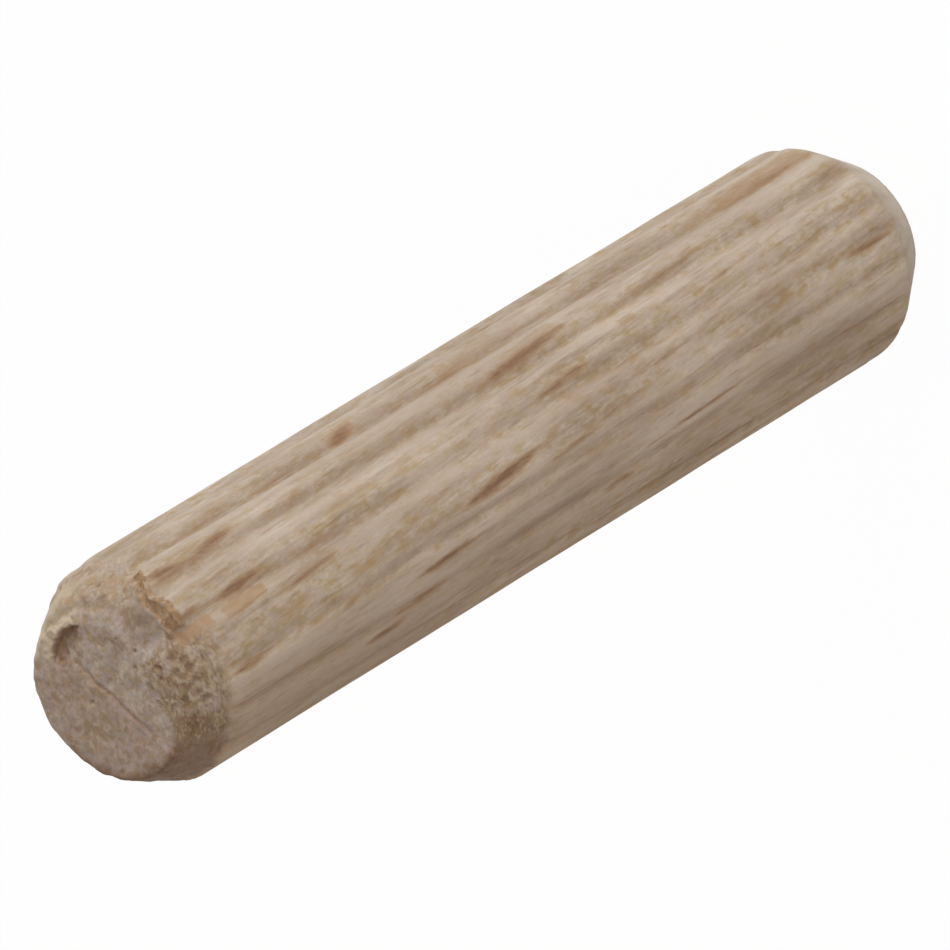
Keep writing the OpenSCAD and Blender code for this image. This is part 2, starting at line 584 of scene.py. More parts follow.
class Skin:
    """The points of the pin's skin, with the direction and the place on the blank of each."""

    def __init__(self, mesh, sizes):
        self.mesh = mesh
        self.sizes = sizes
        places = np.empty(len(mesh.vertices) * 3)
        mesh.vertices.foreach_get("co", places)
        x, y, z = places.reshape(-1, 3).T
        lines = line_directions(sizes)
        turn = np.arctan2(x, -y) / (2 * math.pi)
        line = np.round(turn * len(lines)).astype(int) % len(lines)
        self.angle = lines[line]
        self.degrees = (np.degrees(self.angle) + 180) % 360 - 180
        self.radius = np.hypot(x, y)
        self.height = z

        # the torn end: radius of its flat, where its bevel starts, and the bevel's slant in mm
        self.flat = sizes.radius - sizes.torn_bevel_in
        self.start = sizes.length - sizes.torn_bevel
        self.slant = math.hypot(sizes.torn_bevel, sizes.torn_bevel_in) / MM
        tiny = 0.001 * MM
        self.on_face = (z > sizes.length - tiny) & (self.radius < self.flat - tiny)
        self.on_bevel = (z > self.start + tiny) & ~self.on_face
        self.on_foot = z < tiny
        self.bevel_share = np.clip((z - self.start) / sizes.torn_bevel, 0, 1)
        # way up the torn end's outline in mm, from the start of its bevel
        on_slope = np.where(self.on_bevel, self.slant * self.bevel_share, (z - self.start) / MM)
        in_face = self.slant + (self.flat - self.radius) / MM
        self.way = np.where(self.on_face, in_face, on_slope)

    def round_places(self, height):
        """Places in mm on a plain cylinder, at that height."""
        across = np.sin(self.angle) * NOISE_RADIUS
        ahead = np.cos(self.angle) * NOISE_RADIUS
        return np.stack([across, ahead, height], axis=1)

    def place(self):
        """Writes directions, radii and heights to the mesh, and keeps the places and normals."""
        across = self.radius * np.sin(self.angle)
        back = -self.radius * np.cos(self.angle)
        self.places = np.stack([across, back, self.height], axis=1)
        self.mesh.vertices.foreach_set("co", self.places.ravel())
        self.mesh.update()
        normals = np.empty(self.places.size)
        self.mesh.vertex_normals.foreach_get("vector", normals)
        self.normals = normals.reshape(-1, 3)

    def sink(self, depth):
        """Moves each point into the wood by its depth."""
        self.places = self.places - self.normals * depth[:, None]
        self.mesh.vertices.foreach_set("co", self.places.ravel())
        self.mesh.update()

    def drift(self):
        """Places in mm, squeezed round the pin, on which noise is drawn out along the tears."""
        turned = self.angle + self.way * math.tan(TEAR_LEAN) * MM / self.sizes.radius
        round_mm = self.sizes.radius / MM * TEAR_SQUEEZE
        return np.stack(
            [round_mm * np.sin(turned), -round_mm * np.cos(turned), self.way], axis=1
        )

    def grow_noise(self):
        """Keeps noises from -1 to 1 for each point, named by how they vary over the skin."""
        here = self.places / MM
        self.broad = noise_at(here, (0.8, 0.8, 0.8), seed=3)
        self.lumps = noise_at(here, (0.4, 0.4, 0.4), seed=4)
        self.ragged = noise_at(here, (0.16, 0.16, 0.16), seed=5)
        self.fibres = noise_at(here, (0.16, 0.16, 2.0), seed=8)
        self.shreds = noise_at(self.drift(), (0.055, 0.055, 0.07), seed=14)

    def paint(self, **layers):
        """Keeps a number from 0 to 1 for each point, by name, for the material to read."""
        for name, values in layers.items():
            layer = self.mesh.attributes.new(name, "FLOAT", "POINT")
            layer.data.foreach_set("value", np.clip(values, 0, 1).astype(np.float32))


def nearest_flutes(skin):
    """The number of the flute nearest each point, and how far round from it the point lies."""
    edges = np.array(flute_directions(skin.sizes))
    turned = (skin.angle - edges[0]) % (2 * math.pi) + edges[0]
    apart = turned[:, None] - edges[None, :]
    nearest = np.argmin(np.abs(apart), axis=1)
    return nearest, apart[np.arange(len(apart)), nearest]


def of_flutes(values, flutes):
    """The value of each point's flute, from values that start again after the last flute."""
    return np.array(values + values[:1])[flutes]


def narrow_front(skin):
    """1 round the front, where the flutes are narrower."""
    return between(skin.degrees, -120, -90, -5, 5)


def roll_flutes(skin):
    """Rolls soft flutes into the blank."""
    sizes = skin.sizes
    flutes, aside = nearest_flutes(skin)
    half_width = sizes.flute_half_width * blend(1, 0.6, narrow_front(skin))
    valley = 0.5 + 0.5 * np.cos(math.pi * np.clip(aside / half_width, -1, 1))
    places = skin.round_places(skin.height / MM)
    wander = noise_at(places, (1.5, 1.5, 8), seed=1)
    swell = noise_at(places, (1.0, 1.0, 5), seed=9)
    # sanding the plain end has left less than half of each flute there
    left = blend(0.45, 1, smooth_step(1.0, 3.2, skin.height / MM))
    valley = valley * of_flutes(FLUTE_SHARES, flutes) * (1 + 0.5 * wander) * left
    depth = sizes.flute_depth * np.clip(valley, 0, 1) + SWELL * (0.5 + swell)
    skin.section = sizes.radius - np.maximum(depth, 0)


def hump(turned, middle, before, after):
    """1 at the middle, falling away over one reach before it and another after it."""
    off = turned - middle
    return np.exp(-((off / np.where(off > 0, after, before)) ** 2))


def flank_light(skin):
    """How much painted highlight and painted shade each point gets on the two flanks of its
    flute.
    """
    flutes, aside = nearest_flutes(skin)
    shares = of_flutes(FLUTE_SHARES, flutes)
    front = narrow_front(skin)
    turned = np.degrees(aside) - of_flutes(FLUTE_SHIFTS, flutes)
    pale = hump(turned, *LIT_FLANK) * (0.2 + shares)
    middle, before, after = SHADED_FLANK
    brown = hump(turned, middle, before, blend(after, NARROW_REACH, front))
    return pale * smooth_step(-11, -9, np.degrees(aside)), brown * (shares + 0.25 * front)


def cut_bevels(skin):
    """Cuts the bevels of both ends, and moves the torn face's rim out to meet its bevel."""
    sizes = skin.sizes
    plain_cone = sizes.radius - sizes.plain_bevel_in * (1 - skin.height / sizes.plain_bevel)
    low_side = smooth_step(-48, -75, skin.degrees) + smooth_step(125, 165, skin.degrees)
    fuller = LOW_SIDE_FULLER * low_side
    up = (skin.height - sizes.length) / sizes.torn_bevel + 1
    torn_cone = sizes.radius - (sizes.torn_bevel_in - fuller) * up
    worn = between(skin.degrees, -72, -58, 0, 12) + between(skin.degrees, 40, 52, 90, 110)
    torn_side = lower_of(skin.section, torn_cone, WORN_CORNER * worn + SHARP_CORNER)
    plain_side = lower_of(skin.section, plain_cone, PLAIN_CORNER)
    side = np.where(skin.height < 0.5 * sizes.length, plain_side, torn_side)
    face = skin.radius + fuller * np.where(skin.on_face, skin.radius / skin.flat, 0)
    skin.radius = np.where(skin.on_foot, skin.radius, np.where(skin.on_face, face, side))


def wear_rim(skin):
    """Rounds the rim between the torn face and its bevel, more at the front."""
    sizes = skin.sizes
    front = between(skin.degrees, -62, -45, 92, 118)
    corner = blend(SHARP_RIM, sizes.rim_round, front)
    half_turn = (math.pi / 2 - math.atan(sizes.torn_bevel_in / sizes.torn_bevel)) / 2
    reach = corner * math.tan(half_turn)
    away = np.abs(skin.way - skin.slant) * MM
    worn = np.maximum(reach - away, 0) ** 2 / (2 * corner)
    skin.height = skin.height - worn * math.cos(half_turn)
    skin.radius = np.maximum(skin.radius - worn * math.sin(half_turn), 0)


# The torn end


def torn_band(skin, degrees, fade_in, fade_out):
    """1 over the directions of the torn step, with fades at its first and its last direction.

    Each fade runs between two angles in degrees, which count from that direction.
    """
    first = math.degrees(skin.sizes.first_flute)
    last = math.degrees(skin.sizes.lip_end)
    rise = smooth_step(first + fade_in[0], first + fade_in[1], degrees)
    return rise * smooth_step(last + fade_out[1], last + fade_out[0], degrees)


def tear_lips(skin):
    """Lets two lands run on past the bevel and break off in a torn step."""
    sizes = skin.sizes
    share = skin.bevel_share
    places = skin.round_places(share * 0)
    ragged = noise_at(places, (0.3, 0.3, 1), seed=2)
    ragged = ragged + noise_at(places, (0.12, 0.12, 1), seed=12)
    # the second land's edge falls away over its last 16 degrees
    slanting = np.clip((skin.degrees - 30) / 16, 0, 1) ** 1.4
    top = skin.start + sizes.lip_run - sizes.lip_slant * slanting
    top = top + STEP_RAGGED * (ragged - 0.3)
    foot = sizes.radius - sizes.torn_bevel_in * (top - skin.start) / sizes.torn_bevel

    # the bevel's rings climb the lands, then go in across the step's wall, then on to the face
    step_end = STEP_SHARE + STEP_VARIES * noise_at(places, (0.7, 0.7, 1), seed=13)
    up = np.clip(share / LIP_SHARE, 0, 1)
    across = np.clip((share - LIP_SHARE) / (step_end - LIP_SHARE), 0, 1)
    on = np.clip((share - step_end) / (1 - step_end), 0, 1)
    height = skin.start + up * (top - skin.start) + on * (sizes.length - top)
    # the wall leans back a little, so its foot lies higher than its edge
    height = height + STEP_LEAN * across * (1 - on)
    radius = blend(skin.section - STEP_WEAR * up**4, foot, across)
    radius = blend(radius, skin.flat, on)

    kept = torn_band(skin, skin.degrees + 0.8 * ragged, (-1.5, 2.5), (-2.0, 2.5))
    kept = np.where(skin.on_bevel, kept, 0)
    skin.radius = blend(skin.radius, radius, kept)
    skin.height = blend(skin.height, height, kept)
    skin.lip = kept * smooth_step(0.3, 0.0, across)
    skin.step_wall = kept * smooth_step(0.55, 0.95, up) * smooth_step(0.35, 0.0, on)
    skin.lip_top = top
    skin.past_lip = np.where(skin.on_bevel, on, 1) * (skin.on_bevel | skin.on_face)


def tear_shelf(skin):
    """Tears the wood past the step down to a flatter slope."""
    sizes = skin.sizes
    foot = sizes.radius - sizes.torn_bevel_in * (skin.lip_top - skin.start) / sizes.torn_bevel
    slope = (sizes.length - skin.lip_top) / (foot - (sizes.radius - SHELF_REACH))
    shelf = skin.lip_top + SHELF_RISE + (foot - skin.radius) * slope
    share = torn_band(skin, skin.degrees, (-12, 4), (-10, 6))
    share = share * smooth_step(0, 0.5, skin.past_lip)
    lower = lower_of(skin.height, shelf, SHELF_CORNER)
    skin.height = skin.height + share * (lower - skin.height)


def chip_shares(skin):
    """How deep in the chip each point of the torn face lies, and how crumbled past its wall."""
    sizes = skin.sizes
    x, y, _ = skin.places.T
    out = np.hypot(x, y)
    aside = np.degrees(np.arctan2(x, -y)) - math.degrees(sizes.chip_angle)
    aside = np.abs((aside + 180) % 360 - 180) / math.degrees(sizes.chip_half_turn)
    # the chip is deepest at its steep outer wall, and rises to nothing towards the centre
    wall = sizes.chip_wall + (0.10 * skin.ragged - 0.12 * aside**2) * MM
    floor = np.clip((out - wall + sizes.chip_reach) / sizes.chip_reach, 0, 1)
    chip = floor * smooth_step(wall + 0.08 * MM, wall, out)
    chip = chip * smooth_step(1.35, 0.5, aside + 0.2 * skin.ragged)
    crumbled = smooth_step(1.6, 0.7, aside)
    crumbled = crumbled * smooth_step(wall - 0.1 * MM, wall + 0.15 * MM, out)
    return chip, crumbled * smooth_step(0.6, 1.3, skin.way)


def face_dents(skin):
    """Depth in metres of the step, the chip and the hollows in the torn face."""
    sizes = skin.sizes
    x, y, _ = skin.places.T
    turn = sizes.face_step_angle
    past_line = (y * math.cos(turn) - x * math.sin(turn) - sizes.face_step_offset) / MM
    past_line = past_line + 0.05 * skin.ragged + 0.08 * skin.broad
    low = smooth_step(0.04, -0.04, past_line)
    groove = np.exp(-(((past_line + 0.05) / 0.09) ** 2))
    groove = groove * smooth_step(2.6 * MM, 1.9 * MM, np.hypot(x, y))
    crease = segment_share(x, y, *CREASE_ENDS, CREASE_HALF_WIDTH)
    crease = crease * np.clip(0.8 + 0.5 * skin.broad, 0, 1)
    chip, crumbled = chip_shares(skin)
    depth = 0.8 * sizes.face_step * low + sizes.chip_depth * chip + CREASE_DEPTH * crease
    depth = depth + GROOVE_DEPTH * groove
    depth = depth + MM * crumbled * (0.05 + 0.04 * skin.ragged + 0.07 * skin.lumps)

    on = smooth_step(skin.slant - 0.45, skin.slant + 0.1, skin.way)
    # the chip, the crease and the seam are kept as masks for painted shade as well as sunk
    skin.chip = on * np.clip(chip, 0, 1)
    skin.crease = on * crease
    skin.seam = on * groove * smooth_step(2.2 * MM, 1.5 * MM, np.abs(x + 0.6 * MM))
    skin.high_half = on * (1 - low)
    skin.crumbled = crumbled
    return on * depth


def segment_share(x, y, start, end, half_width):
    """1 on the line from start to end, falling to 0 at half_width from it."""
    dx, dy = end[0] - start[0], end[1] - start[1]
    along = np.clip(((x - start[0]) * dx + (y - start[1]) * dy) / (dx * dx + dy * dy), 0, 1)
    apart = np.hypot(x - start[0] - along * dx, y - start[1] - along * dy)
    return smooth_step(half_width, 0.2 * half_width, apart)


def torn_share(skin):
    """How badly the wood is torn at each point."""
    side = skin.degrees + 9 * skin.broad
    up = skin.way + 0.35 * skin.broad
    front = between(side, -62, -48, 2, 16)
    upper = between(side, 38, 50, 95, 125)
    rest = np.clip(1 - front - upper, 0, 1)
    strength = 1.0 * front + 0.3 * upper + 0.2 * rest
    by_patch = 0.7 * smooth_step(-7, 4, side)
    from_wall = smooth_step(-0.2, 0.6, up - by_patch)
    reach = skin.slant + 0.1 + 0.85 * front * smooth_step(-62, -20, side)
    to_face = smooth_step(reach + 0.35, reach - 0.25, up)
    return strength * from_wall * to_face * (1 - skin.lip)


def flake_field(skin):
    """Height, from 0 in the gaps to 1, of the flakes left where the end was torn."""
    places = skin.drift() + 0.05 * np.stack([skin.broad, -skin.broad, skin.broad], axis=1)
    found = np.full(len(skin.torn), 0.5)
    for i in np.flatnonzero(skin.torn > 0.01):
        # each flake has one height, which fades to the middle one at its edges
        distances, points = noise.voronoi(places[i] / FLAKE_SIZE)
        tone = noise.cell(points[0] * 9.7 + Vector((0.5, 0.5, 0.5)))
        apart = min((distances[1] - distances[0]) * 2.5, 1)
        found[i] = 0.5 + (tone - 0.5) * apart
    return found


def spot_field(skin, on_slope, on_face):
    """How much of a spot there is at each point, from spots on the bevel and on the face."""
    sizes = skin.sizes
    spots = []
    for height, direction, size in on_slope:
        share = (height * MM - sizes.length + sizes.torn_bevel) / sizes.torn_bevel
        out = sizes.radius - sizes.torn_bevel_in * share
        turn = math.radians(direction)
        spots.append((out * math.sin(turn), -out * math.cos(turn), height * MM, size))
    spots += [(x * MM, y * MM, sizes.length, size) for x, y, size in on_face]
    found = np.zeros(len(skin.places))
    for x, y, z, size in spots:
        apart = np.linalg.norm((skin.places - (x, y, z)) * (1.0, 1.0, 0.8), axis=1) / MM
        apart = apart * (1 + 0.9 * skin.ragged)
        found = np.maximum(found, smooth_step(1.3 * size, 0.4 * size, apart))
    return found


# Marks and tones of the side


def mark_fields(skin, marks, blunt):
    """How far inside the nearest mark each point lies, in mm, and that mark's strength."""
    inside = np.full(len(skin.angle), -MARK_REACH)
    strength = np.zeros(len(skin.angle))
    high = skin.height / MM
    for height, direction, length, width, force, slope in marks:
        along = (high - height) / (length / 2)
        turn = (skin.degrees - direction + 180) % 360 - 180
        across = np.radians(turn) * skin.sizes.radius / MM
        across = np.abs(across + (high - height) * math.tan(math.radians(slope)))
        if blunt:
            depth = np.minimum(width / 2 - across, (1 - np.abs(along)) * length / 2)
        else:
            # narrow marks are drawn as dark as wide ones
            depth = (width / 2 * (1 - along**2) - across) * (MARK_WIDTH / width) ** 0.6
        strength = np.where(depth > inside, force, strength)
        inside = np.maximum(depth, inside)
    return inside, strength


def tone_at(skin):
    """Lighter above 0 and darker below 0, at each point of the side: partly painted light and
    shade.
    """
    tone = np.zeros(len(skin.angle))
    for height, direction, along, turn, strength in TONES:
        up = (skin.height / MM - height) / along
        aside = ((skin.degrees - direction + 180) % 360 - 180) / turn
        tone = tone + strength * np.exp(-(up**2) - aside**2)
    return tone


def hidden_flecks():
    """Flecks in the measures of FLECKS, scattered over the back of the pin."""
    rng = np.random.default_rng(HIDDEN_SEED)
    return [
        (
            rng.uniform(3, 37),
            rng.uniform(84, 282),
            rng.uniform(1.2, 4.5),
            rng.uniform(0.12, 0.4),
            rng.uniform(0.4, 0.9),
            rng.uniform(-6, -1),
        )
        for _ in range(HIDDEN_FLECKS)
    ]


# The piece


def add_object(name, data):
    """A new object in the scene, at the origin."""
    added = bpy.data.objects.new(name, data)
    bpy.context.scene.collection.objects.link(added)
    return added


def add_mesh(name, bm, material):
    """A new object that holds the bmesh, in that material."""
    mesh = bpy.data.meshes.new(name)
    bm.to_mesh(mesh)
    bm.free()
    mesh.materials.append(material)
    return add_object(name, mesh)


def new_piece(name, bm, material):
    """A smooth piece of the root body that holds the bmesh."""
    piece = add_mesh(name, bm, material)
    piece.data.shade_smooth()
    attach(piece, "root")
    return piece


def sink_dents(skin):
    """Sinks the step, the chip, the tears and the spots of the torn end, and the side's grain."""
    skin.torn = torn_share(skin)
    skin.pits = spot_field(skin, PITS, FACE_PITS)
    skin.dimples = spot_field(skin, DIMPLES, FACE_DIMPLES)
    chips = spot_field(skin, CHIPS, [])
    skin.flakes = np.clip(flake_field(skin) + 0.6 * chips - 0.5 * skin.pits, 0, 1)
    tears = skin.torn * skin.sizes.torn_relief * (1.1 - skin.flakes - 0.5 * skin.shreds)
    broad, lumpy, ragged = END_ROLLS
    rolls = broad * (0.3 + skin.broad) + lumpy * (0.3 + skin.lumps) + ragged * (0.5 + skin.ragged)
    side = GRAIN_DEPTH * (0.5 + skin.fibres)
    on_end = skin.on_face | (skin.on_bevel & (skin.lip < 0.5))
    depth = face_dents(skin) + tears + np.where(on_end, rolls * MM, side)
    depth = depth + PIT_DEPTH * skin.pits + DIMPLE_DEPTH * skin.dimples
    skin.sink(np.maximum(depth, 0))


def paint_side(skin):
    """Keeps the painted light and shade of the flanks, tones and low side, and the flecks and
    patches.
    """
    side = np.clip(smooth_step(0.3, -0.1, skin.way) + skin.lip, 0, 1)
    pale, brown = flank_light(skin)
    tone = tone_at(skin) * side
    flecks, fleck_strength = mark_fields(skin, FLECKS + hidden_flecks(), blunt=False)
    patches, patch_strength = mark_fields(skin, PATCHES, blunt=True)
    skin.paint(
        # painted highlight and painted shade on the two flanks of each flute
        pale_flank=pale * side,
        brown_flank=brown * side,
        # broad lighter and darker places, partly painted light and shade
        paler=tone,
        duller=-tone,
        fleck=0.5 + flecks / (2 * MARK_REACH),
        fleck_strength=fleck_strength * side,
        patch=0.5 + patches / (2 * MARK_REACH),
        patch_strength=patch_strength,
        plain_bevel=smooth_step(2.5, 0.3, skin.height / MM + 0.3 * skin.broad),
        # painted shade on the side turned from the key lamp
        warm_side=between(skin.degrees, -178, -120, -80, 8),
    )


def paint_ends(skin):
    """Keeps the end grain, tears, dents and tints of the ends."""
    turn = skin.degrees
    wavy_way = skin.way + 0.3 * skin.broad
    bevel = smooth_step(-0.15, 0.45, wavy_way + 0.2 * skin.fibres) * (1 - skin.lip)
    burnt = smooth_step(-36, -50, turn + 4 * skin.broad) * smooth_step(-178, -140, turn)
    burnt = burnt * between(wavy_way, -0.2, 0.5, skin.slant - 0.1, skin.slant + 0.5)
    smooth_patch = between(turn, 10, 17, 35, 42) * between(skin.way, 0.9, 1.3, 2.4, 3.0)
    upper_end = between(turn, 8, 60, 110, 150)
    upper_end = upper_end * smooth_step(skin.slant + 0.7, skin.slant - 0.2, skin.way)
    skin.paint(
        torn=skin.torn,
        # low flakes and shreds get painted shade in their gaps
        flake=skin.flakes,
        shred=0.5 + skin.shreds,
        # painted shade in the pits
        pit=skin.pits,
        dimple=skin.dimples,
        end_grain=np.where(skin.on_face | skin.on_foot, 1.0, 0.0),
        bevel=np.where(skin.on_bevel | skin.on_face, bevel, 0),
        # painted shade in the chip's hollow
        chip=skin.chip,
        # painted shade along the crease
        crease=skin.crease,
        # painted shade in the groove along the face's step
        seam=skin.seam,
        high_half=skin.high_half,
        crumbled=skin.crumbled,
        step_wall=skin.step_wall,
        burnt=burnt,
        smooth_patch=smooth_patch * (1 - skin.lip),
        upper_end=upper_end,
    )


def build_pin(sizes, finish):
    """The wooden pin with its flutes, bevels, torn end and marks."""
    piece = new_piece("beech_pin", turned_blank(sizes), beech(finish))
    skin = Skin(piece.data, sizes)
    roll_flutes(skin)
    cut_bevels(skin)
    tear_lips(skin)
    wear_rim(skin)
    tear_shelf(skin)
    skin.place()
    skin.grow_noise()
    sink_dents(skin)
    paint_side(skin)
    paint_ends(skin)
    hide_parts("dowel_pin")


# Materials


class Wire:
    """A node's output that adds Math nodes when it is used in an expression."""

    def __init__(self, shader, socket):
        self.shader = shader
        self.socket = socket

    def math(self, operation, *values):
        """What a Math node makes of those values."""
        node = self.shader.node("ShaderNodeMath", {"operation": operation}, values)
        return Wire(self.shader, node.outputs[0])

    def __add__(self, other):
        return self.math("ADD", self, other)

    def __sub__(self, other):
        return self.math("SUBTRACT", self, other)

    def __mul__(self, other):
        return self.math("MULTIPLY", self, other)

    def __radd__(self, other):
        return self.math("ADD", other, self)

    def __rsub__(self, other):
        return self.math("SUBTRACT", other, self)

    def __rmul__(self, other):
        return self.math("MULTIPLY", other, self)

    def ramp(self, low, high):
        """0 at low and 1 at high, with a smooth rise between. High may be the lower one."""
        settings = {"interpolation_type": "SMOOTHSTEP", "clamp": True}
        values = {"Value": self, "From Min": low, "From Max": high}
        node = self.shader.node("ShaderNodeMapRange", settings, values)
        return Wire(self.shader, node.outputs[0])


class Shader:
    """A material's node tree, with one method that adds any node."""

    def __init__(self, tree):
        self.tree = tree
        tree.nodes.clear()

    def node(self, kind, settings=None, values=None):
        """A new node, with its properties from settings and its sockets by name or in order."""
        node = self.tree.nodes.new(kind)
        for name, value in (settings or {}).items():
            setattr(node, name, value)
        sockets = [s for s in node.inputs if s.enabled]
        if isinstance(values, dict):
            named = {s.name: s for s in sockets}
            pairs = [(named[name], value) for name, value in values.items()]
        else:
            pairs = list(zip(sockets, values or ()))
        for socket, value in pairs:
            self.set(socket, value)
        return node

    def set(self, socket, value):
        """Links a wire to the socket, or sets the socket to a plain value."""
        if isinstance(value, Wire):
            self.tree.links.new(value.socket, socket)
        elif socket.type == "RGBA" and len(value) == 3:
            socket.default_value = (*value, 1)
        else:
            socket.default_value = value

    def wire(self, node, output=0):
        """The node's output of that name or number."""
        return Wire(self, node.outputs[output])

    def two_colours(self, blend_type, share, one, other):
        """What a Mix node makes of two colours."""
        settings = {"data_type": "RGBA", "clamp_factor": True, "blend_type": blend_type}
        node = self.node("ShaderNodeMix", settings, (share, one, other))
        return Wire(self, [s for s in node.outputs if s.enabled][0])

    def mix(self, share, one, other):
        """One colour where share is 0, and the other where it is 1."""
        return self.two_colours("MIX", share, one, other)

    def tint(self, share, colour, tint):
        """The colour, multiplied by the tint as far as share says."""
        return self.two_colours("MULTIPLY", share, colour, tint)

    def attribute(self, name):
        """A number that was painted on the skin."""
        return self.wire(self.node("ShaderNodeAttribute", {"attribute_name": name}), "Fac")

    def mapped(self, vector, scale=(1, 1, 1), turn=(0, 0, 0), shift=(0, 0, 0)):
        """The vector scaled, then turned, then shifted."""
        values = {"Vector": vector, "Scale": scale, "Rotation": turn, "Location": shift}
        return self.wire(self.node("ShaderNodeMapping", {}, values))

    def noise(self, vector, feature, detail, roughness, seed):
        """Noise from 0 to 1, whose features have that size in millimetres along each axis."""
        shift = (0, 0, WOOD_SEED_STEP * seed)
        scaled = self.mapped(vector, tuple(1 / f for f in feature), shift=shift)
        values = {"Vector": scaled, "Scale": 1, "Detail": detail, "Roughness": roughness}
        return self.wire(self.node("ShaderNodeTexNoise", {}, values))


class Grain:
    """The wood's noises, from 0 to 1, one by each name in GRAIN_NOISES."""

    def __init__(self, shader, finish):
        place = shader.wire(shader.node("ShaderNodeTexCoord"), "Object")
        # in millimetres, turned so that Z runs along the grain
        place = shader.mapped(place, (1 / MM,) * 3, (0, finish.grain_slope, 0))
        for name, (across, along, detail, roughness, seed) in GRAIN_NOISES.items():
            feature = (across, across, along)
            setattr(self, name, shader.noise(place, feature, detail, roughness, seed))
        self.fray = 0.35 * (self.fibres - 0.5) + 0.45 * (self.mottles - 0.5)
        self.fray = self.fray + 0.25 * (self.streaks - 0.5)


def new_material(name):
    """A material and the shader that adds its nodes."""
    material = bpy.data.materials.new(name)
    material.use_nodes = True
    return material, Shader(material.node_tree)


def bare_wood(shader, finish, colour, relief):
    """Ends a material in dull bare wood of that colour and relief."""
    values = {"Strength": RELIEF_STRENGTH, "Distance": RELIEF_DEPTH, "Height": relief}
    bump = shader.node("ShaderNodeBump", {}, values)
    values = {
        "Base Color": colour,
        "Roughness": finish.roughness,
        "Specular IOR Level": SPECULAR_LEVEL,
        "Normal": shader.wire(bump),
    }
    surface = shader.node("ShaderNodeBsdfPrincipled", {}, values)
    shader.node("ShaderNodeOutputMaterial", {}, {"Surface": shader.wire(surface)})


def side_wood(shader, finish, grain):
    """Pale fibres with tan mottles, with painted light and shade on the flutes and the low side.
    """
    wood = shader.mix(grain.streaks.ramp(0.34, 0.66), finish.body, finish.pale)
    wood = shader.mix(grain.yellows.ramp(0.43, 0.68) * 0.95, wood, finish.tan)
    wood = shader.mix(grain.mottles.ramp(0.53, 0.36) * 0.45, wood, finish.dull)
    wood = shader.mix(grain.crumbs.ramp(0.50, 0.62) * 0.3, wood, finish.tan)
    wood = shader.mix(grain.blotches.ramp(0.50, 0.72) * 0.35, wood, finish.patch)
    wood = shader.mix(grain.bands.ramp(0.48, 0.30) * 0.5, wood, finish.pale)
    # painted highlight on the flank of each flute that faces the key lamp
    wood = shader.mix(shader.attribute("pale_flank") * 0.75, wood, finish.pale)
    # broad lighter places, partly painted light
    wood = shader.mix(shader.attribute("paler") * 0.7, wood, finish.pale)
    wood = shader.tint(grain.clouds.ramp(0.40, 0.66) * 0.6, wood, finish.shade)
    wood = shader.tint(grain.bands.ramp(0.52, 0.72) * 0.55, wood, finish.shade)
    # painted shade on the flank of each flute turned from the key lamp
    brown = shader.attribute("brown_flank") * (0.35 + 0.9 * grain.mottles)
    wood = shader.tint(brown, wood, finish.shade)
    # broad darker places, partly painted shade
    dull = shader.attribute("duller") * (0.5 + grain.mottles)
    wood = shader.tint(dull, wood, finish.shade)
    wood = shader.tint(grain.fibres.ramp(0.50, 0.80) * 0.5, wood, finish.shade)
    wood = shader.mix(grain.fibres.ramp(0.46, 0.24) * 0.3, wood, finish.pale)
    wood = shader.tint(grain.dashes.ramp(0.60, 0.80) * 0.3, wood, finish.shade)
    wood = shader.tint(grain.specks.ramp(0.56, 0.76) * 0.4, wood, finish.burnt)
    # painted shade, darker and redder, on the side turned from the key lamp
    return shader.tint(shader.attribute("warm_side"), wood, finish.warm)


def patch_share(shader, grain):
    """How orange the wood is, inside the patches."""
    patch = shader.attribute("patch") + 1.4 * grain.fray
    strength = shader.attribute("patch_strength")
    return patch.ramp(0.38, 0.64) * strength * (0.1 + 0.9 * grain.streaks + 0.5 * grain.fibres)


def flecked_wood(shader, finish, grain, wood):
    """Draws the brown ray flecks, with frayed and paler edges."""
    fleck = shader.attribute("fleck") + 0.7 * grain.fray
    strength = shader.attribute("fleck_strength")
    wood = shader.mix(fleck.ramp(0.28, 0.66) * strength * 0.65, wood, finish.patch)
    return shader.mix(fleck.ramp(0.42, 0.85) * strength * (0.6 + grain.fibres), wood, finish.ray)


def end_wood(shader, finish, grain):
    """Grey brown end grain, with its raised half, crumbs and dimples, and painted shade in the
    seam, crease and chip.
    """
    end = shader.mix(grain.blots.ramp(0.35, 0.65), finish.face, finish.dull)
    upper_end = shader.attribute("upper_end")
    end = shader.mix(upper_end * 0.7, end, finish.body)
    end = shader.mix(grain.blots.ramp(0.50, 0.64) * upper_end * 0.3, end, finish.patch)
    end = shader.tint(grain.blots.ramp(0.49, 0.37), end, finish.shade)
    end = shader.tint(upper_end * 0.3, end, finish.shade)
    end = shader.mix(grain.olives.ramp(0.47, 0.62) * 0.85, end, finish.crumb)
    end = shader.mix(grain.olives.ramp(0.47, 0.34) * 0.7, end, finish.flake)
    end = shader.mix(grain.pinks.ramp(0.50, 0.66) * 0.7, end, finish.dull)
    end = shader.tint(grain.crumbs.ramp(0.48, 0.68) * 0.55, end, finish.shade)
    end = shader.tint(shader.attribute("high_half"), end, finish.dim)
    crumbled = shader.attribute("crumbled") * (0.4 + 0.9 * grain.olives)
    end = shader.mix(crumbled, end, finish.flake)
    end = shader.tint(shader.attribute("smooth_patch"), end, finish.smooth)
    burnt = shader.attribute("burnt") * (0.75 + 0.8 * grain.crumbs)
    end = shader.tint(burnt, end, finish.burnt)
    # painted shade in brown along the groove of the face's step
    end = shader.mix(shader.attribute("seam") * (0.1 + 0.8 * grain.blots), end, finish.stain_and_shade)
    # painted shade along the crease
    end = shader.tint(shader.attribute("crease") * 0.5, end, finish.shade)
    # painted shade in the chip's hollow, darkest by its wall
    end = shader.tint(shader.attribute("chip").ramp(-0.05, 0.7), end, finish.burnt)
    return shader.mix(shader.attribute("dimple") * 0.6, end, finish.patch)


